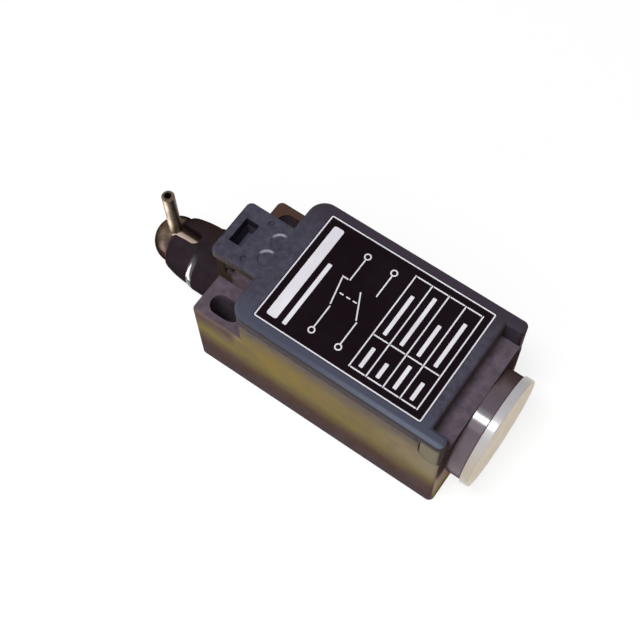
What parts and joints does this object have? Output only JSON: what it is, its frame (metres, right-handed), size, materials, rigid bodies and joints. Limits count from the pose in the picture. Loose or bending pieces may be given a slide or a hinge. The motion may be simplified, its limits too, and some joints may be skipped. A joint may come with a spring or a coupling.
{
  "type": "limit switch",
  "caption": "Compact plastic limit switch with a hinged T-shaped lid, slotted head, spring plunger with a domed tip, hand reset pin, plugged cable entry and contact block.",
  "frame": {"origin": "on the back face, midway between the two mounting holes", "axes": "+X along the housing to the cable entry, plunger tip at -X, +Y across, +Z out of the lid"},
  "size_m": [0.0846, 0.03, 0.032],
  "materials": {
    "black_plastic": "moulded, fine grain",
    "lid_plastic": "moulded, matt",
    "seal_rubber": "moulded",
    "bright_steel": "turned, bright",
    "spring_steel": "drawn wire",
    "plug_plastic": "natural, half clear",
    "block_plastic": "moulded",
    "carriage_plastic": "moulded",
    "contact_copper": "stamped",
    "contact_brass": "stamped",
    "screw_steel": "zinc plated"
  },
  "bodies": {
    "base": {"housing": "black_plastic", "hinge_pins": "bright_steel", "guide_sleeve": "black_plastic", "latch_clip": "spring_steel", "return_spring": "spring_steel", "contact_block": "block_plastic", "opening_contact_near": "contact_brass", "opening_contact_far": "contact_brass", "closing_contact_near": "contact_brass", "closing_contact_far": "contact_brass", "terminal_screws": "screw_steel", "clamp_plates": "screw_steel", "block_screws": "screw_steel"},
    "lid": {"lid": "lid_plastic", "lid_seal": "seal_rubber"},
    "plunger": {"plunger": "bright_steel", "plunger_ring": "seal_rubber", "reset_pin": "bright_steel", "carriage": "carriage_plastic", "opening_bridge": "contact_copper", "closing_bridge": "contact_copper", "contact_spring": "spring_steel"},
    "plug": {"entry_plug": "plug_plastic", "plug_seal": "seal_rubber"}
  },
  "joints": [
    {"name": "plunger_slide", "type": "slide", "parent": "base", "child": "plunger", "axis": [1, 0, 0], "range_m": [0, 0.005], "stiffness_N_per_m": 700, "springref_m": -0.008, "deforming": ["return_spring"]},
    {"name": "lid_hinge", "type": "hinge", "parent": "base", "child": "lid", "pos_m": [0.0503, 0, 0.0247], "axis": [0, 1, 0], "range_deg": [0, 85]},
    {"name": "plug_pull", "type": "slide", "parent": "base", "child": "plug", "axis": [1, 0, 0], "range_m": [0, 0.008]}
  ]
}
